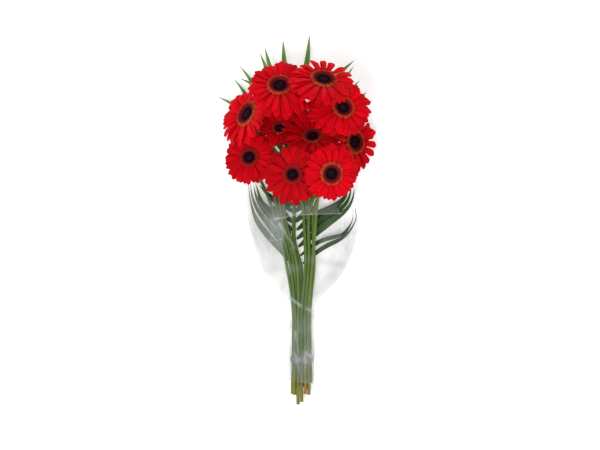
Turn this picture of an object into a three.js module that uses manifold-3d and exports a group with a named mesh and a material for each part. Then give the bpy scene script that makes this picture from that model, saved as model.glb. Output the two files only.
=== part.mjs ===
// A bunch of ten gerberas with one palm frond in a clear film sleeve, lying on its back.
// Millimetres. +Y runs from the cut ends to the flowers, +Z is up, and the flowers face up.
import * as THREE from 'three';
import { mergeVertices } from 'three/addons/utils/BufferGeometryUtils.js';
import Module from 'manifold-3d';

const wasm = await Module();
wasm.setup();

// Flower heads
const headDiameter = 90;
const petalThickness = 1.4;
const petalLobes = 14;
const notchDepth = 7;
const petalDroop = 2.5;
const petalSpin = 1.7;
const eyeDiameter = 20;
const floretRingDiameter = 39;
const floretHeight = 3;
const cupDiameter = 25;
const cupHeight = 12;

// Stems and how they are packed
const stemDiameter = 4.8;
const stemGap = 0.4;
const endSplay = 1.6;
const neckStraight = 8;

// Film sleeve and band. Y = 0 is the front lip of the film.
const filmThickness = 0.6;
const flareLength = 144;
const gatheredLength = 112;
const mouthWidth = 176;
const mouthHeight = 76;
const frontRise = 26;
const lipSweep = 1.2;
const backPanelRise = 104;
const pressedFlat = 1.04;
const bandWidth = 8;
const bandThickness = 1.2;
const bandToHem = 36;

// Palm frond
const rachisDiameter = 4.4;
const leafThickness = 0.8;
const leafWidth = 11;
const leafFold = 0.9;

// Clearance between pieces that touch
const clearance = 0.4;

const sizes = {
  stemSides: 7, stemSteps: 18, cupSides: 10, discSides: 14, leafSteps: 8, filmSides: 28, bandSides: 28,
};

const material = (color, roughness, extra = {}) =>
  new THREE.MeshStandardMaterial({ color, roughness, metalness: 0, ...extra });
const materials = {
  petal: material(0xd8000c, 0.55),
  disc: material(0x4a1020, 0.8),
  stem: material(0x6f8f3a, 0.6),
  palm: material(0x2f5424, 0.5),
  film: material(0xf4f7f8, 0.1, { transparent: true, opacity: 0.25 }),
  band: material(0x9a8f74, 0.7),
};

// ---- solids ----

// Shared vertices are merged while the shape is still in its own plain coordinates.
function sealed(geometry) {
  geometry.deleteAttribute('normal');
  geometry.deleteAttribute('uv');
  return mergeVertices(geometry, 1e-4);
}

function solidOf(geometry) {
  const index = geometry.index.array;
  const triangles = [];
  for (let i = 0; i < index.length; i += 3) {
    const [a, b, c] = [index[i], index[i + 1], index[i + 2]];
    if (a !== b && b !== c && c !== a) triangles.push(a, b, c);
  }
  const build = (order) => new wasm.Manifold(new wasm.Mesh({
    numProp: 3,
    vertProperties: Float32Array.from(geometry.attributes.position.array),
    triVerts: Uint32Array.from(order),
  }));
  const solid = build(triangles);
  if (solid.volume() > 0) return solid;
  for (let i = 0; i < triangles.length; i += 3) {
    [triangles[i + 1], triangles[i + 2]] = [triangles[i + 2], triangles[i + 1]];
  }
  return build(triangles);
}

function meshOf(name, solid, look) {
  const { vertProperties, triVerts } = solid.getMesh();
  const geometry = new THREE.BufferGeometry();
  geometry.setAttribute('position', new THREE.BufferAttribute(vertProperties, 3));
  geometry.setIndex(new THREE.BufferAttribute(triVerts, 1));
  geometry.computeVertexNormals();
  const mesh = new THREE.Mesh(geometry, look);
  mesh.name = name;
  return mesh;
}

function moved(geometry, place) {
  const position = geometry.attributes.position;
  const point = new THREE.Vector3();
  for (let i = 0; i < position.count; i += 1) {
    point.fromBufferAttribute(position, i);
    place(point);
    position.setXYZ(i, point.x, point.y, point.z);
  }
  return geometry;
}

const vec = (x, y, z) => new THREE.Vector3(x, y, z);
const spline = (points) => new THREE.CatmullRomCurve3(points, false, 'centripetal');
const mix = (a, b, t) => a + (b - a) * t;

// Side and face directions of a strip or tube at t along a curve, turned by roll degrees.
function frameAt(curve, t, up, roll = 0) {
  const along = curve.getTangentAt(t);
  const side = along.clone().cross(up).normalize();
  const face = side.clone().cross(along);
  const turn = THREE.MathUtils.degToRad(roll);
  return {
    centre: curve.getPointAt(t),
    side: side.clone().multiplyScalar(Math.cos(turn)).addScaledVector(face, Math.sin(turn)),
    face: face.clone().multiplyScalar(Math.cos(turn)).addScaledVector(side, -Math.sin(turn)),
  };
}

// The sizes that the stems' lanes and the leaflets' points below were laid out for. They follow
// the stems, the heads and the sleeve from there.
const laidOutFor = {
  stemDiameter: 4.8, headDiameter: 90, flareLength: 144, mouthWidth: 176, mouthHeight: 76,
};
const headGrowth = headDiameter / laidOutFor.headDiameter;
const flareGrowth = flareLength / laidOutFor.flareLength;
const widthGrowth = mouthWidth / laidOutFor.mouthWidth;
const heightGrowth = mouthHeight / laidOutFor.mouthHeight;

// ---- packing of the stems ----

const stemPitch = stemDiameter + stemGap;
const layerRise = stemPitch * 0.885;
const bundleHalfHeight = (stemDiameter + layerRise) / 2;
const bandInner = { wide: 3 * stemPitch + clearance + 0.2, high: bundleHalfHeight + clearance + 0.15 };
const filmNeck = {
  wide: bandInner.wide + bandThickness + clearance + filmThickness,
  high: bandInner.high + bandThickness + clearance + filmThickness,
};
const bundleX = 7.75;
const bundleZ = filmNeck.high;
const lowZ = bundleZ - layerRise / 2;
const highZ = bundleZ + layerRise / 2;
const stemGrowth = stemDiameter - laidOutFor.stemDiameter;
const lowSlot = (k) => ({ x: bundleX + (k - 2.5) * stemPitch, z: lowZ });
const highSlot = (k) => ({ x: bundleX + (k - 2) * stemPitch, z: highZ });

// ---- film sleeve ----

// How far the film has opened, from the gathered part to the lip and on up the back panel.
const flare = [[0, 0], [0.1, 0.06], [0.2, 0.26], [0.36, 0.58], [0.62, 0.8], [1, 1], [1.7, 1.03]];
const neckY = -flareLength;
const hemY = neckY - gatheredLength;

function opened(t) {
  if (t <= 0) return 0;
  const i = Math.min(flare.findIndex(([at]) => at >= t), flare.length - 1);
  const [t0, s0] = flare[i < 1 ? flare.length - 2 : i - 1];
  const [t1, s1] = flare[i < 1 ? flare.length - 1 : i];
  return mix(s0, s1, (t - t0) / (t1 - t0));
}

// The film's outer section at a length y: centre, half width, height, how square it is below and
// above its widest level, and how low that level is.
function sectionAt(y) {
  const t = (y - neckY) / flareLength;
  const s = opened(t);
  return {
    x: bundleX + 4.2 * Math.min(s * 1.4, 1),
    wide: mix(filmNeck.wide, mouthWidth / 2, s),
    high: mix(2 * filmNeck.high, mouthHeight, s),
    power: [mix(5, 4, Math.min(s * 2, 1)), mix(5, 2.4, Math.min(s * 2, 1))],
    low: mix(0.5, 0.36, Math.min(s * 2, 1)),
  };
}

// A point of a section. Its lowest part is pressed flat by the surface that the bunch lies on.
function ringPoint(angle, section, inset) {
  const { x, wide, high, power, low } = section;
  const half = Math.sin(angle) < 0 ? 0 : 1;
  const round = (v) => Math.sign(v) * Math.abs(v) ** (2 / power[half]);
  const reach = half === 0 ? high * low : high * (1 - low);
  const level = Math.max(round(Math.sin(angle)) * pressedFlat, -1);
  return [x + (wide - inset) * round(Math.cos(angle)), high * low + (reach - inset) * Math.min(level, 1)];
}

// A point with its x kept at least margin inside the film's outer face.
function insideFilm(p, margin) {
  if (p.y > backPanelRise) return p;
  const { x, wide, high, power, low } = sectionAt(p.y);
  const half = p.z < high * low ? 0 : 1;
  const level = Math.min(Math.abs(p.z - high * low) / (half === 0 ? high * low : high * (1 - low)), 1);
  const reach = Math.max(wide * (1 - level ** power[half]) ** (1 / power[half]) - margin, 0);
  return vec(THREE.MathUtils.clamp(p.x, x - reach, x + reach), p.y, p.z);
}

function filmSleeve() {
  const stations = [0, 0.5, 1];
  flare.slice(1, -1).forEach(([t]) => stations.push(1 + t));
  const outer = stations.map((s) => new THREE.Vector2(1, s));
  const inner = stations.map((s) => new THREE.Vector2(0.5, s)).reverse();
  const ring = sealed(new THREE.LatheGeometry([...outer, ...inner, outer[0].clone()], sizes.filmSides));
  moved(ring, (p) => {
    const angle = Math.atan2(p.z, p.x);
    const inset = Math.hypot(p.x, p.z) < 0.75 ? filmThickness : 0;
    const topY = mix(frontRise, backPanelRise, (0.5 - Math.sin(angle) / 2) ** lipSweep);
    const y = p.y <= 1 ? mix(hemY, neckY, p.y) : mix(neckY, topY, p.y - 1);
    const [x, z] = ringPoint(angle, sectionAt(y), inset);
    p.set(x, y, z);
  });
  return meshOf('film_sleeve', solidOf(ring), materials.film);
}

function elasticBand() {
  const corners = [[1, -0.5], [1, 0.5], [0.5, 0.5], [0.5, -0.5], [1, -0.5]];
  const profile = corners.map(([r, y]) => new THREE.Vector2(r, y));
  const ring = sealed(new THREE.LatheGeometry(profile, sizes.bandSides));
  const bandY = hemY + bandToHem;
  moved(ring, (p) => {
    const angle = Math.atan2(p.z, p.x);
    const grown = Math.hypot(p.x, p.z) < 0.75 ? 0 : bandThickness;
    const section = {
      x: bundleX, wide: bandInner.wide + grown, high: 2 * (bandInner.high + grown), power: [5, 5], low: 0.5,
    };
    const [x, z] = ringPoint(angle, section, 0);
    p.set(x, bandY + p.y * bandWidth, z + bundleZ - section.high / 2);
  });
  return meshOf('elastic_band', solidOf(ring), materials.band);
}

// ---- flowers ----

// Each flower: the head's centre in head diameters from the middle of the lip, the way it faces,
// its size against headDiameter and its disc's against the full size, its stem's way under the
// heads in head diameters, its x and z at two lengths of the fan, its slot in the gathered part, and
// how far its cut end passes the film's hem. tight is the direction in which its neighbours leave
// its petals less room, in degrees, and how much less.
const flowers = [
  { at: [-0.288, 2.227, 0.86], faces: [-0.05, 0.615, 0.787], size: 1.1, ring: 0.95,
    under: [[-0.2, 1.8, 0.15], [-0.1, 1.42, 0.15], [-0.16, 0.85, 0.14]],
    fan: [[-19.7, 13], [0.5, 11]], slot: highSlot(1), past: 34 },
  { at: [0.458, 2.323, 1.0], faces: [0.13, 0.755, 0.643], size: 1.08, ring: 1,
    under: [[0.42, 1.87, 0.32], [0.43, 1.5, 0.2], [0.36, 0.9, 0.14]],
    fan: [[17.8, 12.6], [21.6, 9.6]], slot: lowSlot(4), past: 10 },
  { at: [-0.84, 1.756, 0.53], faces: [-0.72, 0.37, 0.58], size: 1, ring: 1.03,
    under: [[-0.68, 1.6, 0.2], [-0.5, 1.2, 0.16], [-0.42, 0.7, 0.14]],
    fan: [[-31.2, 14], [-9.9, 11.2]], slot: highSlot(0), past: 19 },
  { at: [0.787, 1.853, 0.87], faces: [0.3, 0.3, 0.906], size: 1.04, ring: 0.85, tight: [127, 0.18],
    under: [[0.585, 1.56, 0.33], [0.47, 1.2, 0.23], [0.4, 0.62, 0.17]],
    fan: [[20.6, 17.6], [18.9, 14.2]], slot: highSlot(3), past: 18 },
  { at: [-0.284, 1.514, 0.39], faces: [-0.11, 0.54, 0.835], size: 0.82, ring: 0.58, tight: [122, 0.25],
    under: [[-0.27, 1.28, 0.17], [-0.27, 0.85, 0.14]],
    fan: [[-25.4, 12.6], [-4.7, 9.4]], slot: lowSlot(1), past: 9 },
  { at: [0.278, 1.37, 0.66], faces: [-0.14, 0.62, 0.772], size: 1.04, ring: 0.75, tight: [38, 0.2],
    under: [[0.3, 1.12, 0.32], [0.28, 0.8, 0.204]],
    fan: [[12.4, 12.4], [16.3, 9.6]], slot: lowSlot(3), past: 7 },
  { at: [0.99, 1.28, 0.355], faces: [0.63, 0.05, 0.775], size: 0.96, ring: 0.9, tight: [175, 0.3],
    under: [[0.74, 1.26, 0.16], [0.6, 1.02, 0.145], [0.44, 0.5, 0.14]],
    fan: [[26.5, 12.4], [26.9, 9.6]], slot: lowSlot(5), past: 0.5 },
  { at: [-0.804, 1.017, 0.56], faces: [-0.2, 0.17, 0.965], size: 0.89, ring: 0.74,
    under: [[-0.78, 0.98, 0.27], [-0.68, 0.76, 0.17], [-0.52, 0.42, 0.145]],
    fan: [[-37.4, 12.6], [-15.6, 9.3]], slot: lowSlot(0), past: 18 },
  { at: [-0.067, 0.719, 0.985], faces: [0, -0.08, 0.997], size: 1.01, ring: 0.74,
    under: [[-0.06, 0.7, 0.55], [0.02, 0.5, 0.32], [0.08, 0.3, 0.23]],
    fan: [[9.7, 17.4], [13.6, 14.2]], slot: highSlot(2), past: 30 },
  { at: [0.588, 0.732, 1.02], faces: [0.25, -0.15, 0.957], size: 0.96, ring: 0.86,
    under: [[0.46, 0.75, 0.58], [0.41, 0.55, 0.34], [0.36, 0.32, 0.22]],
    fan: [[30.9, 18.2], [24.2, 15]], slot: highSlot(4), past: 19 },
];
const fanY = [13, -74 * flareGrowth];
const stemMargin = filmThickness + clearance + stemDiameter / 2;
// How much higher the two layers of lanes lie for each millimetre that the stems are thicker.
const laneRise = { low: 2, high: 2.9 };

function headPlace({ at, faces }) {
  const turn = new THREE.Quaternion().setFromUnitVectors(vec(0, 0, 1), vec(...faces).normalize());
  const centre = vec(...at).multiplyScalar(headDiameter);
  return new THREE.Matrix4().compose(centre, turn, vec(1, 1, 1));
}

function headPart(profile, sides) {
  const lathe = new THREE.LatheGeometry(profile.map(([r, z]) => new THREE.Vector2(r, z)), sides);
  return sealed(lathe).rotateX(Math.PI / 2);
}

const petalHole = (ring) => (eyeDiameter / 2) * ring + clearance;
const droopAt = (r, ring, size) =>
  (petalDroop * (r - petalHole(ring))) / ((headDiameter / 2) * size - notchDepth - petalHole(ring));
const cupTop = -petalThickness - clearance - petalDroop * 0.45;

function rayPetals({ size, ring: share, tight: [towards, less] = [0, 0] }, spin) {
  const hole = petalHole(share);
  const corners = [[0, -1], [1, -1], [1, 0], [0, 0], [0, -1]];
  const ring = headPart(corners.map(([out, z]) => [hole + out, z * petalThickness]), petalLobes * 3);
  return moved(ring, (p) => {
    const points = petalLobes * 3;
    const step = (Math.round((Math.atan2(p.y, p.x) / (2 * Math.PI)) * points) + points) % points;
    const angle = (step / points) * 2 * Math.PI + spin;
    const crowded = Math.max(0, Math.cos(angle - THREE.MathUtils.degToRad(towards))) ** 2;
    const tip = (headDiameter / 2) * size * (1 - less * crowded);
    const isInner = Math.hypot(p.x, p.y) < hole + 0.5;
    const r = isInner ? hole : tip - [notchDepth, 1, 0][step % 3];
    p.set(r * Math.cos(angle), r * Math.sin(angle), isInner ? p.z : p.z - petalDroop);
  });
}

function flowerDisc({ size, ring }) {
  const ringR = (floretRingDiameter / 2) * ring;
  const eyeR = (eyeDiameter / 2) * ring;
  const rim = clearance - droopAt(ringR, ring, size) * 0.6;
  return headPart([
    [0, -petalThickness], [eyeR, -petalThickness], [eyeR, clearance], [ringR, rim],
    [ringR, floretHeight - 1], [ringR * 0.8, floretHeight], [eyeR, 1.2], [eyeR * 0.6, 2.6], [0, 3.2],
  ], sizes.discSides);
}

function stemCup() {
  const cupR = cupDiameter / 2;
  const bottom = cupTop - cupHeight;
  return headPart([
    [0, cupTop], [cupR, cupTop], [cupR * 0.92, cupTop - cupHeight * 0.4],
    [cupR * 0.5, bottom + cupHeight * 0.15], [stemDiameter * 0.45, bottom], [0, bottom],
  ].reverse(), sizes.cupSides);
}

function stemTube(points, diameter, steps) {
  const curve = spline(points);
  const tube = sealed(new THREE.CylinderGeometry(1, 1, 1, sizes.stemSides, steps));
  return moved(tube, (p) => {
    const even = p.y + 0.5;
    const t = THREE.MathUtils.clamp(1 - (1 - even) ** 0.72, 0, 1);
    const { centre, side, face } = frameAt(curve, t, vec(1, 0, 0));
    const r = diameter / 2;
    p.copy(centre.addScaledVector(side, p.x * r).addScaledVector(face, p.z * r));
  });
}

function stemPoints(flower) {
  const back = vec(...flower.faces).normalize().negate();
  const head = vec(...flower.at).multiplyScalar(headDiameter);
  const start = cupHeight * 0.6 - cupTop;
  const splay = (endSplay * (flower.slot.x - bundleX)) / bandInner.wide;
  const { x, z } = flower.slot;
  const wider = ((x - bundleX) / stemPitch) * stemGrowth;
  const higher = stemGrowth * (z > bundleZ ? laneRise.high : laneRise.low);
  return [
    head.clone().addScaledVector(back, start),
    head.clone().addScaledVector(back, start + cupHeight * 0.4 + neckStraight),
    ...flower.under.map((p) => insideFilm(vec(...p).multiplyScalar(headDiameter), stemMargin)),
    vec(flower.fan[0][0] + wider, fanY[0], flower.fan[0][1] * headGrowth + higher),
    vec(flower.fan[1][0] + wider, fanY[1], flower.fan[1][1] + higher),
    vec(x, neckY, z),
    vec(x, mix(neckY, hemY, 0.5), z),
    vec(x, hemY + bandToHem, z),
    vec(x + splay, hemY - flower.past, z),
  ].reverse();
}

function flowerMeshes(flower, number) {
  const label = String(number).padStart(2, '0');
  const place = headPlace(flower);
  const put = (geometry) => geometry.applyMatrix4(place);
  const tube = stemTube(stemPoints(flower), stemDiameter, sizes.stemSteps);
  const stem = solidOf(tube).add(solidOf(put(stemCup())));
  return [
    meshOf(`gerbera_stem_${label}`, stem, materials.stem),
    meshOf(`ray_petals_${label}`, solidOf(put(rayPetals(flower, number * petalSpin))), materials.petal),
    meshOf(`flower_disc_${label}`, solidOf(put(flowerDisc(flower))), materials.disc),
  ];
}

// ---- palm frond ----

const rachisSlot = lowSlot(2);
const rachisLow = filmThickness + clearance + rachisDiameter / 2 + 1.4;
const rachisPoints = [
  vec(rachisSlot.x, hemY - 4, rachisSlot.z),
  vec(rachisSlot.x, mix(neckY, hemY, 0.5), rachisSlot.z),
  vec(rachisSlot.x, neckY, rachisSlot.z),
  vec(6.8, -88 * flareGrowth, rachisLow),
  vec(5.6, -70 * flareGrowth, rachisLow),
  vec(0, -54 * flareGrowth, rachisLow),
  vec(-3.9, -38 * flareGrowth, rachisLow),
  vec(-3.9, 16, rachisLow),
  vec(-4.5, 90, rachisLow),
  vec(-3, 150, rachisLow),
];

function palmRachis() {
  const curve = spline(rachisPoints);
  const tube = sealed(new THREE.CylinderGeometry(1, 1, 1, sizes.stemSides, sizes.stemSteps));
  moved(tube, (p) => {
    const t = THREE.MathUtils.clamp(p.y + 0.5, 0, 1);
    const r = (rachisDiameter / 2) * mix(1, 0.5, Math.max(0, (t - 0.55) / 0.45));
    const { centre, side, face } = frameAt(curve, t, vec(1, 0, 0));
    p.copy(centre.addScaledVector(side, p.x * r).addScaledVector(face, p.z * r));
  });
  return meshOf('palm_rachis', solidOf(tube), materials.palm);
}

// A leaflet's points start at the rachis, and its roll is its turn about its own length, at the
// base and at the tip. Those in the sleeve bow out to the film and lean on it.
const sleeveLeaflets = [
  // left
  { through: [[2.4, -80, 3.6], [-22, -52, 4], [-44, -28, 8], [-61, -4, 14], [-70, 23, 18], [-74, 50, 21]],
    roll: [8, 70] },
  { through: [[-4.6, -62, 3.6], [-21, -40, 4.2], [-40, -13, 6.8], [-57, 8, 14], [-67, 29, 23],
    [-71, 52, 29]], roll: [14, 66] },
  { through: [[-8, -46, 3.8], [-21, -20, 4], [-37, -1, 5], [-44, 5, 7.2], [-53, 16, 22], [-61, 30, 35],
    [-66, 50, 41]], roll: [16, 58] },
  { through: [[-8.6, -26, 3.8], [-22, -4, 4.2], [-38, 9, 4.6], [-45, 15, 7.2], [-53, 24, 21], [-58, 37, 42],
    [-63, 52, 54]], roll: [16, 50], wide: 0.8 },
  { through: [[-8, -8, 3.8], [-20, 8, 4.4], [-37, 29, 5], [-46, 37, 5.5], [-58, 50, 9]],
    roll: [16, 20], wide: 0.8 },
  // right
  { through: [[9.6, -72, 3.6], [34, -52, 3.4], [50, -42, 6], [71, -31, 15], [84, -17, 22], [91, -2, 27],
    [90, 14, 31]], roll: [-8, -80], wide: 0.75 },
  { through: [[5.6, -60, 3.6], [34, -38, 3.8], [54, -31, 8], [70, -26, 16], [80, -15, 25], [86, -2, 32],
    [86, 12, 37]], roll: [-10, -78], wide: 0.75 },
  { through: [[2.6, -46, 3.8], [34, -20, 5], [57, -2, 9], [75, 11, 14], [85, 27, 21], [89, 44, 27]],
    roll: [-14, -60], wide: 1.15 },
  { through: [[0, -34, 3.8], [33, -8, 4.4], [56, 7, 8], [73, 19, 16], [81, 33, 25], [84, 48, 32]],
    roll: [-15, -55], wide: 1.15 },
  { through: [[0, -20, 3.8], [33, 5, 4.8], [55, 16, 9], [70, 27, 18], [77, 39, 28], [79, 52, 35]],
    roll: [-16, -45], wide: 1.15 },
];
// Behind the heads, left to right.
const upperLeaflets = [
  { through: [[-8.2, 70, 4], [-40, 108, 4], [-75, 150, 4], [-97, 173, 4.2], [-122, 186, 7]], roll: [16, 10] },
  { through: [[-8.2, 84, 4], [-35, 125, 4], [-62, 165, 4], [-82, 195, 4.4], [-97, 214, 7]], roll: [16, 10] },
  { through: [[-8.2, 98, 4], [-30, 140, 4], [-52, 180, 4], [-68, 208, 5], [-88, 234, 9]], roll: [16, 10] },
  { through: [[-8, 112, 6.8], [-18, 130, 8.8], [-30, 150, 9], [-52, 188, 9.6], [-70, 206, 11],
    [-87, 214, 13]], roll: [14, 10] },
  { through: [[-8, 126, 4], [-23, 165, 4], [-39, 205, 4], [-47, 230, 5], [-57, 254, 7]], roll: [14, 8] },
  { through: [[-7.6, 138, 6.8], [-12, 156, 9], [-19, 175, 9.4], [-31, 205, 9.6], [-41, 232, 11],
    [-49, 262, 15]],
    roll: [12, 6] },
  { through: [[-6.4, 152, 4.4], [-11, 185, 4.4], [-16, 215, 5], [-19, 240, 7], [-21, 274, 14]],
    roll: [8, 4] },
  { through: [[0.4, 150, 4.6], [6, 185, 4.6], [11, 215, 5], [16, 240, 7], [20, 282, 13]], roll: [-8, -4] },
  { through: [[0.6, 132, 4], [25, 168, 4], [52, 205, 4.4], [75, 230, 7], [89, 242, 11]], roll: [-14, -8] },
  { through: [[0.4, 116, 4], [28, 155, 4], [57, 195, 4], [78, 219, 4.5], [88, 233, 6]], roll: [-16, -8],
    wide: 0.85 },
  { through: [[0.4, 100, 4], [30, 138, 4], [60, 176, 4], [84, 199, 5], [98, 211, 8]], roll: [-16, -8] },
  { through: [[0.4, 84, 4], [32, 122, 4], [65, 160, 4], [98, 187, 5], [109, 193, 7]], roll: [-16, -8] },
];

// A leaflet in the sleeve starts at the rachis and follows the film from its third point on.
function leanOnFilm(leaf) {
  const middleX = sectionAt(0).x;
  const through = leaf.through.map(([x, y, z], i) => {
    const follows = Math.min(i / 2, 1);
    const nearer = mix(middleX, x, mix(1, widthGrowth, follows));
    return [nearer, y < 0 ? y * flareGrowth : y, z * mix(1, heightGrowth, follows)];
  });
  return { ...leaf, through };
}

function palmLeaflet({ through, roll, wide = 1 }, number) {
  const curve = spline(through.map((p) => vec(...p)));
  const blade = sealed(new THREE.BoxGeometry(1, 1, 1, 2, sizes.leafSteps, 1));
  moved(blade, (p) => {
    const t = THREE.MathUtils.clamp(p.y + 0.5, 0, 1);
    const { centre, side, face } = frameAt(curve, t, vec(0, 0, 1), mix(roll[0], roll[1], t));
    const half = (leafWidth * wide * (0.16 + 0.84 * Math.sin(Math.PI * (0.12 + 0.84 * t)) ** 0.8)) / 2;
    const fold = Math.abs(p.x) * 2 * leafFold * (half * 2 / leafWidth);
    p.copy(centre.addScaledVector(side, p.x * 2 * half).addScaledVector(face, p.z * leafThickness + fold));
  });
  const label = String(number).padStart(2, '0');
  return meshOf(`palm_leaflet_${label}`, solidOf(blade), materials.palm);
}

// ---- the bunch ----

const bunch = new THREE.Group();
flowers.forEach((flower, i) => bunch.add(...flowerMeshes(flower, i + 1)));
bunch.add(palmRachis(), filmSleeve(), elasticBand());
const leaflets = [...sleeveLeaflets.map(leanOnFilm), ...upperLeaflets];
leaflets.forEach((leaf, i) => bunch.add(palmLeaflet(leaf, i + 1)));

const box = new THREE.Box3().setFromObject(bunch);
const middle = box.getCenter(new THREE.Vector3());
bunch.position.set(-middle.x, -middle.y, -box.min.z);

export default bunch;
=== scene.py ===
"""A bunch of ten gerberas with a palm frond in a clear film sleeve, lying on its back.

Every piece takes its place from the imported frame: heads from the discs' and petal rings' own
axes, stems and leaflets from the rings of points that they were swept through.
"""
import math
import random

import bpy
import numpy as np
from bpy.props import FloatProperty, FloatVectorProperty, PointerProperty
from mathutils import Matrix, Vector, noise


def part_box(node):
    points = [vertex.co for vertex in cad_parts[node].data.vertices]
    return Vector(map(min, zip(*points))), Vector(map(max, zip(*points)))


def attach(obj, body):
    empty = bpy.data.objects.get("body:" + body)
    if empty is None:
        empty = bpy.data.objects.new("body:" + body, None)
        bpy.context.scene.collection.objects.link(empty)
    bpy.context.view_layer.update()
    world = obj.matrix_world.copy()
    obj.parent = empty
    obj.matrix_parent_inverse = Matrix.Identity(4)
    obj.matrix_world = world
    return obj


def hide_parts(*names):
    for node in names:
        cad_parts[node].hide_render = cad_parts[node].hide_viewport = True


bl_info = {
    "name": "Gerbera bunch",
    "version": (1, 0, 0),
    "blender": (4, 5, 0),
    "location": "3D View > Sidebar > Bunch",
    "description": "Builds petals, florets, stems, palm frond and film sleeve round a packed frame",
    "category": "Add Mesh",
}

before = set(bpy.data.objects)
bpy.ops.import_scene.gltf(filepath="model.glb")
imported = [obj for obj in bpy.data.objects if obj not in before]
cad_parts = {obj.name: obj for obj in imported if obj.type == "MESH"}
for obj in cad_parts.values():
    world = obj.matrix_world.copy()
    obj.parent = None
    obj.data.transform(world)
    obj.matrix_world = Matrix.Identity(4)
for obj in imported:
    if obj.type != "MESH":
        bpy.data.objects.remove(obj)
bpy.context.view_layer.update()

MM = 0.001
FLOWERS = range(1, 11)
LEAFLETS = range(1, 23)
LEAFLETS_IN_SLEEVE = 10
LEAFLETS_LEFT_IN_SLEEVE = 5
BLUSHED_STEM = 4
GOLDEN_ANGLE = math.pi * (3 - math.sqrt(5))
STRAP_CROWDING = 0.858
BUDS_IN_EYE = 110
EYE_SHARE = 0.56
DISC_RISE = 1.4 * MM
CUP_RADIUS, CUP_TOP, CUP_LOW = 12.3 * MM, -2.9 * MM, -14.4 * MM
NECK_UNDER_HEAD = 13.5 * MM
RACHIS_FULLNESS = 1.45
ALPHA_LIMIT = 0.72
FLOOR_REACH = 6.0
FLOOR_DROP = 0.2 * MM
SENSOR = 36
CAMERA_X, CAMERA_Y = 6.2 * MM, -8.5 * MM
WORLD_STRENGTH = 0.62
# Name, turn in degrees, strength and how wide the light is, in degrees
SUNS = (("key", (28, -24, 0), 1.5, 30), ("fill", (-35, 30, 0), 0.35, 60))
X_AXIS = (1.0, 0.0, 0.0)
STEM_END_POINTS, LEAFLET_END_POINTS = 7, 6
FILM_AROUND, FILM_STEPS_GATHERED, FILM_STEPS_OPEN = 288, 60, 190
SEEDS = dict(petals=100, florets=200, stems=300, leaflets=400, rachis=500, stubs=510)


class Habit:
    """How a flower grows: how many outer petals, their breadth against the usual, how bright its
    red is, partly its own tone and partly painted shade on the heads that lie low in the bunch,
    how orange its rim, and how far its petals are raised like a cup. Then the sides where
    they are longer, raised more and standing apart, and by how much; in degrees from the right."""

    def __init__(self, petals, breadth, red, rim, cup, longer, raised=(0, 0), sparse=(0, 0)):
        self.petals, self.breadth, self.red, self.rim, self.cup = petals, breadth, red, rim, cup
        self.longer, self.raised, self.sparse = longer, raised, sparse


HABITS = {
    1: Habit(36, 1.05, 0.65, 0.85, 3, longer=(-60, 0.38)),
    2: Habit(31, 1.0, 0.75, 0.9, 0, longer=(-118, 0.33), raised=(90, 8), sparse=(62, 64)),
    3: Habit(38, 1.15, 0.7, 1.0, 2, longer=(-90, 0.26), raised=(175, 20), sparse=(112, 30)),
    4: Habit(34, 1.0, 0.7, 0.8, 3, longer=(165, 0.42)),
    5: Habit(28, 0.8, 0.55, 0.6, 11, longer=(110, 0.42), raised=(80, 20)),
    6: Habit(33, 0.9, 0.55, 0.6, 4, longer=(97, 0.46), raised=(95, 20)),
    7: Habit(28, 0.9, 0.7, 0.95, 5, longer=(215, 0.42), raised=(0, 12), sparse=(-20, 48)),
    8: Habit(38, 0.95, 0.5, 0.12, 2, longer=(-75, 0.1)),
    9: Habit(24, 1.25, 0.2, 0.0, -2, longer=(-115, 0.08), raised=(90, 12)),
    10: Habit(38, 0.92, 0.75, 0.85, 0, longer=(80, 0.1)),
}


# ---- reading the frame ----

def joined_points(node):
    """A node's points with doubles joined, and for each the set of those it shares an edge with."""
    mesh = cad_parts[node].data
    places = np.array([v.co for v in mesh.vertices])
    _, index = np.unique(np.round(places / 1e-5).astype(int), axis=0, return_inverse=True)
    index = index.ravel()
    points = np.zeros((index.max() + 1, 3))
    points[index] = places
    beside = [set() for _ in points]
    for polygon in mesh.polygons:
        ring = [index[v] for v in polygon.vertices]
        for a, b in zip(ring, ring[1:] + ring[:1]):
            if a != b:
                beside[a].add(b)
                beside[b].add(a)
    return points, beside


def swept_rings(node, count):
    """The rings of points that a node was swept through, from the end with the lowest y."""
    points, beside = joined_points(node)
    front = set(np.argsort(points[:, 1])[:count].tolist())
    seen, rings = set(front), []
    while front:
        rings.append(points[sorted(front)])
        front = {b for a in front for b in beside[a]} - seen
        seen |= front
    return rings


def unit(v):
    return v / np.linalg.norm(v, axis=-1, keepdims=True)


def all_round(count):
    """A row of angles, evenly all the way round."""
    return np.linspace(0, 2 * np.pi, count + 1)[:-1][None, :]


def ring_points(centre, radius, turn, side, face):
    """Points round a centre, or rings of them, in the plane of a side and a face."""
    across, up = (radius * np.cos(turn))[..., None], (radius * np.sin(turn))[..., None]
    return centre + across * side + up * face


def swell(value, middle, width):
    """1 at the middle, fading off evenly to both sides."""
    return np.exp(-(((value - middle) / width) ** 2))


def rise(value, low, high):
    """0 below low, 1 above high, and smooth from one to the other."""
    t = np.clip((value - low) / (high - low), 0, 1)
    return t * t * (3 - 2 * t)


def limited(value):
    return min(max(value, 0), 1)


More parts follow.
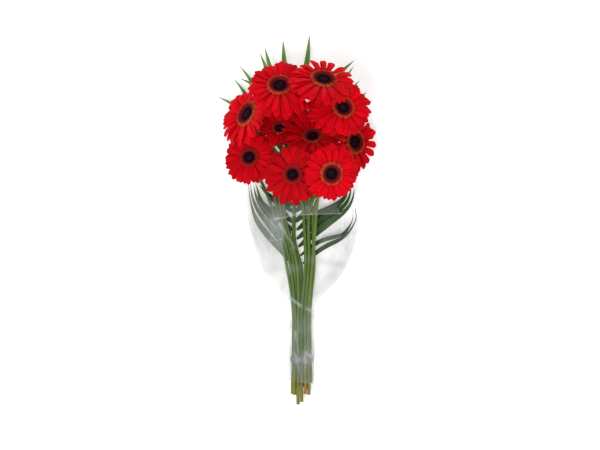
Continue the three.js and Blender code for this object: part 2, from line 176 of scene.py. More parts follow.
class Head:
    """A flower head's centre, axes, disc radius and the reach of its petals."""

    def __init__(self, number):
        self.label = f"{number:02d}"
        disc, _ = joined_points(f"flower_disc_{self.label}")
        middle = disc.mean(axis=0)
        axis = np.linalg.svd(disc - middle)[2][2]
        axis = axis * (1 if axis[2] > 0 else -1)
        level = (disc - middle) @ axis
        floor = disc[level < level.min() + 0.25 * MM].mean(axis=0)
        self.axis = unit(disc[level.argmax()] - floor)
        self.centre = floor + self.axis * DISC_RISE
        up = np.array([0.0, 1.0, 0.0])
        self.up = unit(up - self.axis * (up @ self.axis))
        self.side = np.cross(self.up, self.axis)
        self.disc = self.apart(disc)[0].max()
        ring, _ = joined_points(f"ray_petals_{self.label}")
        self.ring_r, self.ring_angle = self.apart(ring)

    def apart(self, points):
        """Distance from the axis and angle round it."""
        x, y = (points - self.centre) @ self.side, (points - self.centre) @ self.up
        return np.hypot(x, y), np.arctan2(y, x)

    def reach(self, angle):
        """How far out the petals go in a direction."""
        off = np.abs((self.ring_angle - angle + math.pi) % (2 * math.pi) - math.pi)
        return self.ring_r[off < math.pi / 11].max()

    def place(self, angle, out, across, height):
        """Points at a distance out along a direction, across it and above the head's plane."""
        along = self.side * math.cos(angle) + self.up * math.sin(angle)
        beside = self.up * math.cos(angle) - self.side * math.sin(angle)
        parts = [np.asarray(v, float)[..., None] for v in np.broadcast_arrays(out, across, height)]
        return self.centre + parts[0] * along + parts[1] * beside + parts[2] * self.axis


class Sweep:
    """A smooth line through points, with its direction, a side and a face at each place."""

    def __init__(self, points, sides, steps):
        points = np.asarray(points)
        spans = np.linalg.norm(np.diff(points, axis=0), axis=1)
        self.knots = np.concatenate([[0], np.cumsum(spans)])
        self.length = self.knots[-1]
        self.at = np.linspace(0, self.length, steps)
        self.centre = self.smooth(points)
        self.along = unit(np.gradient(self.centre, axis=0))
        side = self.smooth(np.asarray(sides))
        side = side - self.along * np.sum(side * self.along, axis=1, keepdims=True)
        self.side = unit(side)
        self.face = np.cross(self.side, self.along)

    def smooth(self, values):
        """Values at the knots, carried to every place by a cubic through them."""
        slopes = np.gradient(values, self.knots, axis=0)
        i = np.clip(np.searchsorted(self.knots, self.at, side="right") - 1, 0, len(self.knots) - 2)
        span = self.knots[i + 1] - self.knots[i]
        t = (self.at - self.knots[i]) / span
        if values.ndim > 1:
            t, span = t[:, None], span[:, None]
        return ((2 * t**3 - 3 * t**2 + 1) * values[i] + (t**3 - 2 * t**2 + t) * span * slopes[i]
                + (3 * t**2 - 2 * t**3) * values[i + 1] + (t**3 - t**2) * span * slopes[i + 1])


# ---- meshes ----

class Skin:
    """Points and faces gathered for one piece, with the values that its material reads."""

    def __init__(self, *value_names):
        self.points, self.faces, self.count = [], [], 0
        self.values = {name: [] for name in value_names}

    def grid(self, rows, closed=False, caps=(False, False), **values):
        """Adds rows of points, an array of (rows, columns, 3), as a sheet or a tube."""
        high, wide = rows.shape[:2]
        first = self.count
        self.points.append(rows.reshape(-1, 3))
        for name, gathered in self.values.items():
            gathered.append(np.broadcast_to(values.get(name, 0.0), (high, wide)).ravel())
        index = first + np.arange(high * wide).reshape(high, wide)
        ahead = np.roll(index, -1, axis=1) if closed else index[:, 1:]
        here = index if closed else index[:, :-1]
        quads = np.stack([here[:-1], ahead[:-1], ahead[1:], here[1:]], axis=-1)
        self.faces += quads.reshape(-1, 4).tolist()
        if caps[0]:
            self.faces.append(index[0][::-1].tolist())
        if caps[1]:
            self.faces.append(index[-1].tolist())
        self.count += high * wide

    def mesh_object(self, name, look):
        mesh = bpy.data.meshes.new(name)
        mesh.from_pydata(np.concatenate(self.points).tolist(), [], self.faces)
        for value_name, gathered in self.values.items():
            layer = mesh.attributes.new(value_name, "FLOAT", "POINT")
            layer.data.foreach_set("value", np.concatenate(gathered).astype(np.float32))
        mesh.shade_smooth()
        mesh.materials.append(look.material)
        made = bpy.data.objects.new(name, mesh)
        bpy.context.scene.collection.objects.link(made)
        return made

    def piece(self, name, look, slot, *replaced, thick=0.0):
        """Makes the piece and says its body and the nodes it stands in for. Its material slot is
        not used.
        """
        made = self.mesh_object(name, look)
        if thick:
            solid = made.modifiers.new("thickness", "SOLIDIFY")
            solid.thickness = thick
            solid.offset = 0
        if replaced:
            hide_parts(*replaced)
        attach(made, "root")


# ---- materials ----

class Shade:
    """A value in a material. Sums written on it add the nodes that work them out."""

    def __init__(self, look, socket):
        self.look, self.socket = look, socket

    def sum(self, operation, *values):
        settings = {"operation": operation}
        return self.look.node("ShaderNodeMath", settings, dict(enumerate(values)))[0]

    def __add__(self, other): return self.sum("ADD", self, other)
    def __radd__(self, other): return self.sum("ADD", other, self)
    def __sub__(self, other): return self.sum("SUBTRACT", self, other)
    def __rsub__(self, other): return self.sum("SUBTRACT", other, self)
    def __mul__(self, other): return self.sum("MULTIPLY", self, other)
    def __rmul__(self, other): return self.sum("MULTIPLY", other, self)
    def __pow__(self, other): return self.sum("POWER", self, other)
    def __abs__(self): return self.sum("ABSOLUTE", self)

    def wave(self):
        return self.sum("SINE", self)

    def least(self, other):
        return self.sum("MINIMUM", self, other)

    def between(self, low, high):
        """0 below low, 1 above high, and smooth from one to the other."""
        settings = {"interpolation_type": "SMOOTHSTEP"}
        return self.look.node("ShaderNodeMapRange", settings, {"Value": self, 1: low, 2: high})[0]


class Look:
    """One material, with a single Principled shader."""

    def __init__(self, name, **constants):
        self.material = bpy.data.materials.new(name)
        self.material.use_nodes = True
        self.tree = self.material.node_tree
        self.shader = self.tree.nodes["Principled BSDF"]
        for socket, value in constants.items():
            self.shader.inputs[socket.replace("_", " ")].default_value = value

    def node(self, kind, settings=None, sockets=None):
        made = self.tree.nodes.new(kind)
        for key, value in (settings or {}).items():
            if key == "stops":
                self.fill_ramp(made.color_ramp, value)
            else:
                setattr(made, key, value)
        for key, value in (sockets or {}).items():
            if isinstance(value, Shade):
                self.tree.links.new(value.socket, made.inputs[key])
            else:
                made.inputs[key].default_value = value
        return [Shade(self, socket) for socket in made.outputs]

    def fill_ramp(self, ramp, stops):
        while len(ramp.elements) < len(stops):
            ramp.elements.new(0.5)
        for element, (position, colour) in zip(ramp.elements, stops):
            element.position, element.color = position, (*colour, 1)

    def feed(self, socket, value):
        self.tree.links.new(value.socket, self.shader.inputs[socket])

    def value(self, name):
        return self.node("ShaderNodeAttribute", {"attribute_name": name})[2]

    def place(self):
        return self.node("ShaderNodeTexCoord")[3]

    def mottle(self, scale, detail=2.0, stretch=(1, 1, 1), distortion=0.0):
        """Soft noise from 0 to 1, over the object's own place in metres."""
        settings = {"operation": "MULTIPLY"}
        vector = self.node("ShaderNodeVectorMath", settings, {0: self.place(), 1: stretch})[0]
        sockets = {"Vector": vector, "Scale": scale, "Detail": detail, "Distortion": distortion}
        return self.node("ShaderNodeTexNoise", {}, sockets)[0]

    def blend(self, mask, first, second):
        colours = [c if isinstance(c, Shade) else (*c, 1) for c in (first, second)]
        settings = {"data_type": "RGBA", "clamp_factor": True}
        return self.node("ShaderNodeMix", settings, {0: mask, 6: colours[0], 7: colours[1]})[2]

    def ramp(self, value, stops):
        return self.node("ShaderNodeValToRGB", {"stops": stops}, {0: value})[0]

    def bump(self, height, distance, strength=1.0):
        sockets = {"Height": height, "Distance": distance, "Strength": strength}
        self.feed("Normal", self.node("ShaderNodeBump", {}, sockets)[0])


def petal_look(colours):
    look = Look("petal red", Specular_IOR_Level=0.06)
    along, across, tint = look.value("along"), look.value("across"), look.value("tint")
    # tint sets each petal between its shade red and its red in full light: painted shade on the
    # lower whorls and low-lying heads, with random tone.
    red = look.blend(tint, colours.petal_deep_and_shade, colours.petal_bright)
    cells = look.mottle(900, 3)
    red = look.blend(cells.between(0.35, 0.75) * 0.15, red, colours.petal_deep_and_shade)
    throat = 1 - along.between(0.12, 0.45)
    red = look.blend(throat * 0.35, red, colours.petal_deep_and_shade)
    veins = (across * 26 + cells * 3).wave() * 0.5 + 0.5
    # The two grooves along each petal are darkened: painted shade in the creases. The veins are the
    # petals' own lines.
    grooves = 1 - (abs(abs(across) - 0.36)).between(0.0, 0.1)
    veins_and_groove_shade = (veins.between(0.55, 1.0) * 0.16 + grooves * 0.3) * along.between(0, 0.3)
    red = look.blend(veins_and_groove_shade, red, colours.petal_deep_and_shade)
    # The tips, which curl down, are darkened: painted shade.
    tip = along.between(0.92, 1.0) * 0.4
    look.feed("Base Color", look.blend(tip, red, colours.petal_tip_shade))
    look.feed("Roughness", 0.55 + cells * 0.14)
    look.bump(veins * 0.5 + cells * 0.35 - grooves * 0.6, 0.00022, 0.6)
    return look


def floret_look(colours):
    look = Look("disc florets", Roughness=0.7, Specular_IOR_Level=0.05)
    radial, strap, rim = look.value("along"), look.value("across"), look.value("tint")
    grain = look.mottle(1400, 3)
    dark = look.ramp(radial + (grain - 0.5) * 0.1, [
        (0.0, (0.010, 0.003, 0.008)), (0.46, (0.018, 0.003, 0.009)), (0.55, (0.13, 0.007, 0.012)),
        (0.68, (0.21, 0.007, 0.010)), (0.82, (0.36, 0.016, 0.010)),
    ])
    lit = look.blend(rim, colours.floret_rim_dull, colours.floret_rim)
    edge = radial.between(0.72, 0.92) * (0.6 + 0.4 * strap.between(0.1, 0.7))
    colour = look.blend(edge * (0.35 + 0.65 * rim), dark, lit)
    specks = look.mottle(1500, 1).between(0.6, 0.7) * (1 - radial.between(0.15, 0.34))
    look.feed("Base Color", look.blend(specks * 0.6, colour, (0.30, 0.28, 0.28)))
    look.bump(grain, 0.00025, 0.7)
    return look


def stem_look(colours):
    look = Look("stem green", Specular_IOR_Level=0.35)
    names = ("along", "across", "tint", "cut", "blush")
    along, rib, tint, cut, blush = (look.value(name) for name in names)
    fibres = look.mottle(160, 4, (6, 0.25, 6))
    green = look.blend(tint, colours.stem_dark, colours.stem_light)
    pale = rib.between(-0.2, 1.0) * 0.35 + fibres.between(0.45, 0.8) * 0.3
    green = look.blend(pale, green, colours.stem_pale)
    green = look.blend((1 - along.between(0.012, 0.075)) * 0.7, green, colours.stem_end)
    flushed = blush * (1 - along.between(0.008, 0.022)) * 0.7
    green = look.blend(flushed, green, colours.stem_blush)
    spongy = look.mottle(900, 3).between(0.4, 0.7)
    pith = look.blend(spongy, (0.30, 0.13, 0.035), (0.42, 0.30, 0.12))
    look.feed("Base Color", look.blend(cut, green, pith))
    hairs = look.mottle(2200, 2, (3, 0.4, 3))
    look.bump(fibres * 0.5 + hairs * 0.5, 0.0002, 0.5)
    look.feed("Roughness", 0.42 + hairs * 0.25)
    return look


def leaf_look(colours):
    look = Look("palm green", Specular_IOR_Level=0.25)
    along, across, tint = look.value("along"), look.value("across"), look.value("tint")
    patch = look.mottle(60, 3, (1, 0.4, 1))
    # tint sets a leaflet between its dark and light green: painted shade on the leaflets under the
    # stems, with random tone.
    green = look.blend(tint, colours.leaf_deep_and_shade, colours.leaf_light)
    veins = (across * 30).wave() * 0.5 + 0.5
    pale = veins.between(0.5, 1.0) * 0.3 + patch.between(0.4, 0.75) * 0.25
    green = look.blend(pale, green, colours.leaf_vein)
    midrib = 1 - abs(across).between(0.02, 0.12)
    green = look.blend(midrib * 0.5, green, colours.leaf_vein)
    dry = along.between(0.94, 1.0) * 0.5
    look.feed("Base Color", look.blend(dry, green, (0.30, 0.26, 0.08)))
    look.feed("Roughness", 0.36 + patch * 0.2)
    look.bump(veins * 0.7 + midrib * 0.8, 0.00018, 0.6)
    return look


def film_look(colours):
    """Clear film: hazier where it lies double and round the gathered part, and hazier and lighter
    grey at its creases, a painted highlight.
    """
    look = Look("clear film", Roughness=0.2, Specular_IOR_Level=0.35, IOR=1.49)
    haze, crease, slack = look.value("haze"), look.value("crease"), look.value("slack")
    cloud = look.mottle(26, 4, (1, 0.6, 1), 0.6)
    streak = look.mottle(38, 4, (1, 0.22, 1), 1.2)
    # Fine streak lines get more haze, and with it more of the film's reflection: painted
    # highlights.
    highlight_lines = 1 - abs(streak - 0.5).between(0.0, 0.03)
    milky = cloud.between(0.42, 0.75)
    broad = look.mottle(17, 1, (1.2, 0.7, 1), 1.6).between(0.44, 0.66)
    alpha = haze + milky * (haze * 0.7 + slack * 0.05) + broad * slack * 0.15
    alpha = alpha + highlight_lines * (0.02 + slack * 0.02) + crease * 0.45
    look.feed("Alpha", alpha.least(ALPHA_LIMIT))
    # The creases are drawn lighter grey: painted highlights.
    look.feed("Base Color", look.blend(crease, colours.film_haze, colours.film_crease_highlight))
    look.bump(streak * 0.7 + cloud * 0.5, 0.0022, 0.3)
    return look


def band_look(colours):
    look = Look("elastic band", Roughness=0.55, Specular_IOR_Level=0.4)
    grain = look.mottle(700, 3, (1, 6, 1))
    look.feed("Base Color", look.blend(grain, colours.band, (0.26, 0.23, 0.15)))
    look.bump(grain, 0.0002, 0.5)
    return look


def floor_look(colours):
    look = Look("pale floor", Roughness=0.9, Specular_IOR_Level=0.1, Emission_Strength=0.38,
                Emission_Color=(1, 1, 1, 1))
    shade = look.mottle(3, 2)
    look.feed("Base Color", look.blend(shade * 0.2, colours.floor, (0.97, 0.97, 0.975)))
    return look


# ---- petals and florets ----

def towards(angle, side):
    """How far an angle faces a side: 1 there, 0 from square to it on."""
    degrees, amount = side
    return amount * max(0.0, math.cos(angle - math.radians(degrees)))


def petal(skin, head, angle, reach, breadth, level, raised, rng, tint):
    """One ray petal: a narrow base, two grooves, a toothed tip and a curl of its own."""
    s = np.linspace(0, 1, 14)[:, None]
    u = np.linspace(-1, 1, 9)[None, :]
    start = head.disc * 0.84
    length = reach - start
    body = 0.46 + 0.54 * np.sin(np.clip(s / 0.7, 0, 1) * np.pi / 2) ** 1.3
    end = np.clip((s - 0.78) / 0.22, 0, 1)
    half = breadth * body * np.sqrt(1 - 0.82 * end**2.6)
    teeth = 0.022 * (0.5 - 0.5 * np.cos(3 * np.pi * u + 0.3 * rng.uniform(-1, 1)))
    out = start + length * (s - end**1.5 * (0.055 * np.abs(u) ** 2.2 + teeth))
    rise = rng.uniform(0.03, 0.075)
    curl = rng.uniform(0.07, 0.15)
    lift = length * (rise * np.sin(np.pi * s * 0.85) - curl * s**3)
    trough = rng.uniform(-0.10, 0.16) * half * u**2 * (0.4 + 0.6 * s)
    grooves = -0.28 * MM * swell(np.abs(u), 0.36, 0.14) * np.sin(np.pi * np.clip(s, 0, 0.97))
    ripple = 0.3 * MM * s * np.sin(7 * s + 5 * u + rng.uniform(0, 6))
    twist = math.radians(rng.uniform(-9, 9)) * s + math.radians(6)
    bend = rng.uniform(-0.045, 0.045) * length * s**2
    height = lift + trough + grooves + ripple + u * half * np.tan(twist)
    away = out - start
    out, height = (start + away * math.cos(raised) - height * math.sin(raised),
                   level + height * math.cos(raised) + away * math.sin(raised))
    rows = head.place(angle, out, u * half + bend, height)
    skin.grid(rows, along=s, across=u, tint=tint)


# Short petals below, an outer whorl in two layers, then a shorter inner whorl on top of it, each
# with half the flower's count. For each: how far its petals reach, height in mm, turn against the
# others as a share of a step, breadth, raise in degrees and how much darker they are, a painted
# shade on the short and lower petals that lie under the others.
WHORLS = {
    "short": (0.64, -1.3, 0.77, 1.0, 0, 0.3),
    "lower": (1.0, -0.9, 0.0, 1.0, 0, 0.3),
    "upper": (0.97, 0.0, 0.5, 1.0, 0, 0.0),
    "inner": (0.84, 0.9, 0.27, 0.9, 3, 0.0),
}


def ray_petals(number, sizes, look):
    head = Head(number)
    rng = random.Random(SEEDS["petals"] + number)
    habit = HABITS[number]
    open_side, spread = habit.sparse
    skin = Skin("along", "across", "tint")
    offset = rng.uniform(0, 6)
    petals = round(habit.petals / 2)
    for whorl, (reach_share, level, phase, fullness, lifted, shaded) in WHORLS.items():
        for k in range(petals):
            angle = offset + (k + phase + rng.uniform(-0.16, 0.16)) * 2 * math.pi / petals
            reach = head.reach(angle) * reach_share * (1 + towards(angle, habit.longer))
            reach *= rng.uniform(0.95, 1.03)
            breadth = sizes.petal_breadth * habit.breadth * rng.uniform(0.85, 1.12) * fullness
            raised = habit.cup + towards(angle, habit.raised) + rng.uniform(-3, 4) + lifted
            # The darker red on the lower whorls and from the habit is partly painted shade; the
            # random part is the petals' own tone.
            tint = limited(habit.red - shaded + rng.uniform(-0.25, 0.3))
            if abs((math.degrees(angle) - open_side + 180) % 360 - 180) < spread:
                if whorl == "lower":
                    continue
                breadth *= 1.08 if whorl == "upper" else 0.85
            petal(skin, head, angle, reach, breadth, level * MM, math.radians(raised), rng, tint)
    skin.piece(f"petals_{head.label}", look, "petals", f"ray_petals_{head.label}",
               thick=sizes.petal_thickness)


def strap(skin, head, radius, angle, start, end, half, heights, pointed, rim):
    """One strap of the inner florets, arched from start to end."""
    s = np.linspace(0, 1, 7)[:, None]
    u = np.linspace(-1, 1, 3)[None, :]
    width = half * (0.7 + 0.3 * np.sin(np.pi * s)) * (1 - pointed * s**3)
    rest, arch, drop = heights
    height = rest + arch * np.sin(np.pi * s**0.8 * 0.75) - drop * s**4 + 0.16 * half * (1 - u**2)
    out = start + (end - start) * s
    skin.grid(head.place(angle, out, u * width, height), along=out / radius, across=s, tint=rim)


def bud(skin, head, eye_of, angle, out, radius, base, height, rim):
    """A closed bud of the eye: a small rounded cone."""
    turn = all_round(6)
    level = np.array([0.0, 0.45, 0.8, 1.0])[:, None]
    r = radius * np.array([0.9, 1.0, 0.62, 0.16])[:, None]
    rows = head.place(angle, out + r * np.cos(turn), r * np.sin(turn), base + height * level)
    skin.grid(rows, closed=True, caps=(False, True), along=out / eye_of, across=level, tint=rim)


# The rows of straps, outermost first: the share of the disc where a row starts and ends, its arch
# and the drop at its tips in mm, and how pointed it is
STRAP_ROWS = (
    (0.62, 1.03, 3.6, 0.6, 0.2),
    (0.60, 0.95, 3.9, 0.4, 0.35),
    (0.55, 0.80, 3.2, 0.1, 0.85),
    (0.50, 0.68, 2.4, 0.0, 0.9),
)


def flower_disc(number, sizes, look):
    head = Head(number)
    rng = random.Random(SEEDS["florets"] + number)
    rim = HABITS[number].rim
    skin = Skin("along", "across", "tint")
    radius = head.disc * sizes.disc_spread
    half = sizes.floret_breadth
    for start, end, arch, drop, pointed in STRAP_ROWS:
        count = round(2 * math.pi * radius * end / (2 * half) * STRAP_CROWDING)
        for k in range(count):
            angle = (k + rng.uniform(-0.3, 0.3)) * 2 * math.pi / count
            tip = radius * end * rng.uniform(0.94, 1.0)
            heights = (0.2 * MM, arch * MM * rng.uniform(0.8, 1.15), drop * MM)
            width = half * rng.uniform(0.8, 1.1)
            lit = limited(rim + rng.uniform(-0.5, 0.15))
            strap(skin, head, radius, angle, radius * start, tip, width, heights, pointed, lit)
    eye = radius * EYE_SHARE
    for k in range(BUDS_IN_EYE):
        out = eye * math.sqrt((k + 0.5) / BUDS_IN_EYE)
        crown = 1 - (out / eye) ** 2
        height = (1.5 + 1.3 * crown) * MM * rng.uniform(0.85, 1.1)
        bud(skin, head, radius, k * GOLDEN_ANGLE, out, eye * 0.105, 0.1 * MM, height, rim)
    plate = np.linspace(0.04, 0.98, 5)[:, None]
    level = head.centre + 0.15 * MM * head.axis
    rows = ring_points(level, plate * radius * 0.95, all_round(32), head.side, head.up)
    skin.grid(rows, closed=True, caps=(True, False), along=plate * 0.6)
    skin.piece(f"florets_{head.label}", look, "disc", f"flower_disc_{head.label}")


# ---- stems ----

def ribbed_tube(skin, line, radii, ribs, depth, rng, tint, blush=0.0):
    """A tube with shallow ribs along a line. Its first end is cut across."""
    turn = all_round(24)
    drift = 0.5 * np.sin(line.at * 18 + rng.uniform(0, 6))[:, None]
    rib = np.cos(ribs * (turn + drift) + rng.uniform(0, 6))
    r = radii[:, None] * (1 + depth * rib)
    rows = ring_points(line.centre[:, None], r, turn, line.side[:, None], line.face[:, None])
    skin.grid(rows, closed=True, caps=(False, True), along=line.at[:, None], across=rib, tint=tint,
              blush=blush)
    inward = np.array([1.0, 0.9, 0.55, 0.12])[:, None]
    sunk = np.array([0.0, -0.15, 0.1, 0.35])[:, None] * MM
    ring = rows[0] - line.centre[0]
    face = line.centre[0] + ring[None] * inward[..., None] + sunk[..., None] * line.along[0]
    cut = np.array([1.0, 1.0, 1.0, 0.6])[:, None]
    skin.grid(face[::-1], closed=True, caps=(True, False), tint=tint, cut=cut)


def bract(skin, head, angle, start, end, half, rng):
    """One green scale of the cup under a head, from (radius, height) to (radius, height)."""
    s = np.linspace(0, 1, 6)[:, None]
    u = np.linspace(-1, 1, 3)[None, :]
    out = start[0] + (end[0] - start[0]) * np.sin(np.pi / 2 * s) + 0.5 * MM * s
    height = start[1] + (end[1] - start[1]) * s**1.25
    width = half * np.sin(np.pi * (0.18 + 0.8 * s)) ** 0.8
    belly = 0.35 * MM * (1 - u**2)
    rows = head.place(angle, out + belly, u * width, height)
    skin.grid(rows, along=0.3, across=u, tint=rng.uniform(0.3, 0.9))


# The cup under a head: its outline as (share of its radius, share of its depth), and its rows of
# bracts, each from and to such a place, with how many there are
CUP_OUTLINE = ((0.22, 1.0), (0.45, 0.93), (0.72, 0.66), (0.93, 0.3), (1.0, 0.0), (0.8, 0.0))
BRACT_ROWS = (
    ((0.3, 0.98), (0.86, 0.42), 15),
    ((0.5, 0.9), (1.05, 0.1), 21),
    ((0.75, 0.6), (1.1, -0.02), 24),
)


def cup_place(share):
    """Radius and height of a place on the cup."""
    return share[0] * CUP_RADIUS, CUP_TOP + share[1] * (CUP_LOW - CUP_TOP)


def cup(skin, head, rng):
    outline = np.array([cup_place(share) for share in CUP_OUTLINE])
    level = head.centre + outline[:, 1, None, None] * head.axis
    rows = ring_points(level, outline[:, :1], all_round(32), head.side, head.up)
    skin.grid(rows, closed=True, caps=(True, True), along=0.3, tint=0.4)
    for start, end, count in BRACT_ROWS:
        for k in range(count):
            angle = (k + rng.uniform(-0.2, 0.2)) * 2 * math.pi / count
            bract(skin, head, angle, cup_place(start), cup_place(end), 1.7 * MM, rng)


def stem(number, sizes, look):
    head = Head(number)
    rng = random.Random(SEEDS["stems"] + number)
    rings = swept_rings(f"gerbera_stem_{head.label}", STEM_END_POINTS)
    neck = head.centre - head.axis * NECK_UNDER_HEAD
    centres = []
    for ring in rings:
        # Wider rings belong to the cup
        if len(ring) > 12:
            break
        centre = ring.mean(axis=0)
        if np.linalg.norm(centre - neck) > 9 * MM:
            centres.append(centre)
    line = Sweep(centres + [neck], [X_AXIS] * (len(centres) + 1), 170)
    radius = np.linalg.norm(rings[2] - rings[2].mean(axis=0), axis=1).mean() * sizes.stem_fullness
    left = line.length - line.at
    radii = radius * (1 + 0.12 * np.exp(-line.at / 0.012) + 0.35 * np.exp(-left / 0.007)
                      + 0.03 * np.sin(line.at * 40 + number))
    skin = Skin("along", "across", "tint", "cut", "blush")
    blush = float(number == BLUSHED_STEM)
    ribbed_tube(skin, line, radii, 9, 0.05, rng, rng.uniform(0.15, 0.85), blush)
    cup(skin, head, rng)
    skin.piece(f"stem_{head.label}", look, "stem", f"gerbera_stem_{head.label}")


# ---- palm ----

def blade(skin, line, half, rng, tint):
    """A leaflet: a folded blade with fine pleats, tapering to a point."""
    s = (line.at / line.length)[:, None]
    u = np.linspace(-1, 1, 13)[None, :]
    taper = (1 - s**5) ** 0.8 * (0.55 + 0.45 * np.clip(s / 0.1, 0, 1))
    half = half[:, None] * taper + 0.12 * MM
    fold = 0.22 * half * np.abs(u) ** 1.3
    pleat = 0.16 * MM * np.cos(5 * np.pi * u) * np.clip(half / (4 * MM), 0, 1)
    sway = 0.25 * MM * u * np.sin(line.at * 90 + rng.uniform(0, 6))[:, None]
    rows = (line.centre[:, None] + (u * half)[..., None] * line.side[:, None]
            + (fold + pleat + sway)[..., None] * line.face[:, None])
    skin.grid(rows, along=s, across=u, tint=tint)


def leaflet(number, sizes, look):
    label = f"{number:02d}"
    rng = random.Random(SEEDS["leaflets"] + number)
    rings = swept_rings(f"palm_leaflet_{label}", LEAFLET_END_POINTS)
    centres = np.array([ring.mean(axis=0) for ring in rings])
    along = unit(np.gradient(centres, axis=0))
    sides, halves = [], []
    for ring, centre, ahead in zip(rings, centres, along):
        side = np.linalg.svd(ring - centre)[2][0]
        side = unit(side - ahead * (side @ ahead))
        if sides and side @ sides[-1] < 0 or not sides and np.cross(side, ahead)[2] < 0:
            side = -side
        sides.append(side)
        halves.append(np.abs((ring - centre) @ side).max())
    line = Sweep(centres, sides, 44)
    inside = number <= LEAFLETS_IN_SLEEVE
    # Leaflets in the sleeve lie under the stems and get a darker green: painted shade.
    tint = 0.22 if number <= LEAFLETS_LEFT_IN_SLEEVE else 0.0 if inside else 0.85
    skin = Skin("along", "across", "tint")
    half = np.interp(line.at, line.knots, halves) * sizes.leaflet_breadth
    if not inside:
        # Behind the heads they taper in a fuller curve
        half = 0.92 * half.max() * (half / half.max()) ** 0.62
    blade(skin, line, half, rng, max(0, tint + rng.uniform(-0.1, 0.12)))
    skin.piece(f"leaflet_{label}", look, "palm", f"palm_leaflet_{label}",
               thick=sizes.leaf_thickness)


def rachis(look):
    """The frond's middle rib. Returns the line that it follows."""
    rng = random.Random(SEEDS["rachis"])
    rings = swept_rings("palm_rachis", STEM_END_POINTS)
    rings = [ring for ring in rings if len(ring) >= STEM_END_POINTS]
    centres = np.array([ring.mean(axis=0) for ring in rings])
    line = Sweep(centres, [X_AXIS] * len(centres), 130)
    # The rings at the slanting end take in points of two, so none may be wider than the middle one
    widths = [np.linalg.norm(ring - c, axis=1).mean() for ring, c in zip(rings, centres)]
    widths = np.minimum(widths, np.median(widths))
    radii = np.interp(line.at, line.knots, widths) * RACHIS_FULLNESS
    skin = Skin("along", "across", "tint", "cut", "blush")
    ribbed_tube(skin, line, radii, 3, 0.06, rng, 0.35)
    skin.piece("rachis", look, "palm", "palm_rachis")
    return line


# For each side: its name, its direction, the sides of its blades, and where along the bunch its
# short leaflets start, in mm. Then the way that each one takes from there.
STUBS = (
    ("right", 1, (0.62, -0.75, 0.12), (-4, 9, 21, 33, 45)),
    ("left", -1, (0.62, 0.75, 0.12), (-18, -6, 9, 21, 33, 45)),
)
STUB_WAY = ((1.2, 1.0, 0.2), (10, 8.5, 0.8), (22, 17.5, 1.0), (36, 27, 0.6))


def leaf_stubs(line, sizes, look):
    """Short leaflets between the long ones, up the middle of the sleeve and under the stems."""
    rng = random.Random(SEEDS["stubs"])
    for name, out, side, starts in STUBS:
        for k, y in enumerate(starts):
            at = line.centre[int(np.abs(line.centre[:, 1] - y * MM).argmin())]
            points = [at + np.array([out * x, up, z]) * MM for x, up, z in STUB_WAY]
            way = Sweep(points, [side] * len(points), 26)
            skin = Skin("along", "across", "tint")
            swelling = np.sin(np.pi * np.clip(way.at / way.length * 0.62 + 0.12, 0, 1))
            half = 4.6 * MM * (0.35 + 0.65 * swelling) * sizes.leaflet_breadth
            blade(skin, way, half, rng, 0.12 + rng.uniform(-0.08, 0.1))
            skin.piece(f"leaf_stub_{name}_{k + 1}", look, "palm", thick=sizes.leaf_thickness)


# ---- film and band ----

# How far the film has opened, from the gathered part (0) to its full width (1) and past it
FLARE = [(0, 0), (0.1, 0.06), (0.2, 0.26), (0.36, 0.58), (0.62, 0.8), (1, 1), (1.7, 1.03)]


class FilmShape:
    """The film's section along the bunch, as in the frame's own sleeve."""

    def __init__(self, sizes):
        low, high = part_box("film_sleeve")
        band_low, band_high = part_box("elastic_band")
        self.hem = low.y
        self.neck = low.y + sizes.gathered_length
        self.lip = self.neck + sizes.flare_length
        self.back = high.y
        self.front = self.lip + sizes.front_rise
        self.mouth_x = (low.x + high.x) / 2
        self.neck_x = (band_low.x + band_high.x) / 2
        self.mouth_half = (high.x - low.x) / 2 / 1.015
        self.mouth_high = sizes.mouth_height
        self.neck_half = (band_high.x - band_low.x) / 2 + 0.3 * MM
        self.neck_high = band_high.z + 0.3 * MM
        self.tie = (band_low.y + band_high.y) / 2

    def opening(self, y):
        """0 at the neck and 1 at the film's full width."""
        return (y - self.neck) / (self.lip - self.neck)

    @staticmethod
    def gathered(t):
        """1 up to the neck, falling to 0 above it."""
        return np.exp(-np.clip(t, 0, 9) / 0.16)

    def section(self, y, turn):
        """The film's x and z: a box with round corners below, a fuller arch above."""
        t, steps = self.opening(y), np.linspace(-0.09, 0.09, 9)
        open_share = np.mean([np.interp(t + step, *zip(*FLARE)) for step in steps], axis=0)
        soon = np.minimum(open_share * 2, 1)
        x = self.neck_x + (self.mouth_x - self.neck_x) * np.minimum(open_share * 1.4, 1)
        wide = self.neck_half + (self.mouth_half - self.neck_half) * open_share
        high = self.neck_high + (self.mouth_high - self.neck_high) * open_share
        low = 0.5 - 0.14 * soon
        below = np.sin(turn) < 0
        power = np.where(below, 5 - soon, 5 - 2.6 * soon)
        c, s = np.cos(turn), np.sin(turn)
        bulge = (np.abs(c) ** power + np.abs(s) ** power) ** (-1 / power)
        bulge_x, bulge_z = bulge * c, np.clip(bulge * s * 1.03, -1, 1)
        reach = np.where(below, high * low, high * (1 - low))
        return x + wide * bulge_x, high * low + reach * bulge_z

    def top(self, turn):
        """Where the film ends, from its front edge round to its longer back."""
        return self.front + (self.back - self.front) * (0.5 - np.sin(turn) / 2) ** 1.2


